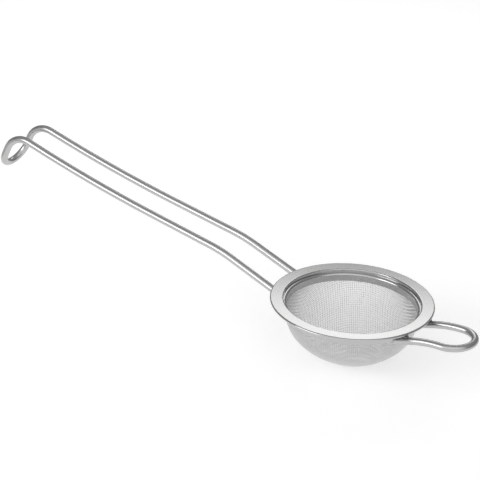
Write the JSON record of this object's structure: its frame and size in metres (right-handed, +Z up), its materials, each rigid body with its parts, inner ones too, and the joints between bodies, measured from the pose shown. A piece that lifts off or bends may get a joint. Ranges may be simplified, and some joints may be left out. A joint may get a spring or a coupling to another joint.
{
  "type": "tea strainer",
  "caption": "Round woven-wire strainer bowl in a flat stamped rim, with a long bent-wire handle ending in a hook and a short wire rest loop opposite.",
  "frame": {"origin": "centre of the rim, on the flat top face of its flange", "axes": "+Z up out of the bowl, square to the rim; -X towards the hooked end of the handle; +X towards the rest loop"},
  "size_m": [0.2467, 0.07, 0.0542],
  "materials": {
    "rim_steel": "satin",
    "press_steel": "satin",
    "cloth_steel": "bright drawn wire",
    "wire_steel": "polished",
    "weld_steel": "as welded"
  },
  "bodies": {
    "root": {"rim_ring": "rim_steel", "press_ring": "press_steel", "mesh_bowl": "cloth_steel", "handle_wire": "wire_steel", "rest_loop": "wire_steel", "handle_weld_near": "weld_steel", "handle_weld_far": "weld_steel", "loop_weld_near": "weld_steel", "loop_weld_far": "weld_steel"}
  },
  "joints": []
}
